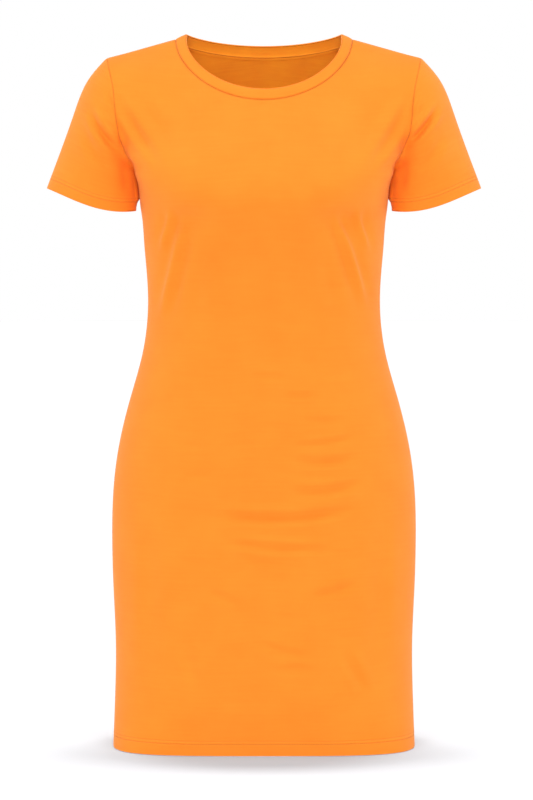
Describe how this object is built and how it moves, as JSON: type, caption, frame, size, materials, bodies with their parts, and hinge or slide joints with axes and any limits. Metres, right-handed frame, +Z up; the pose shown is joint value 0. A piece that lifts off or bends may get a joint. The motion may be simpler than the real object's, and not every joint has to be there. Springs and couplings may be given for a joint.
{
  "type": "t-shirt dress",
  "caption": "Plain knitted t-shirt dress with short set-in sleeves and a wide round neckband, filled out and hollow, open at neck, cuffs and hem.",
  "frame": {"origin": "midway between the neck ends of the two shoulder seams, where the wearer's shoulders carry the dress", "axes": "+Z up along the body, the front faces -Y, +X towards the wearer's left"},
  "size_m": [0.5398, 0.2653, 0.8834],
  "materials": {
    "jersey": "plain orange cotton jersey, matt, with a fine knit",
    "neckband_jersey": "plain orange jersey, folded double"
  },
  "bodies": {
    "root": {"front_panel": "jersey", "back_panel": "jersey", "sleeve_left": "jersey", "sleeve_right": "jersey", "neckband": "neckband_jersey"}
  },
  "joints": []
}
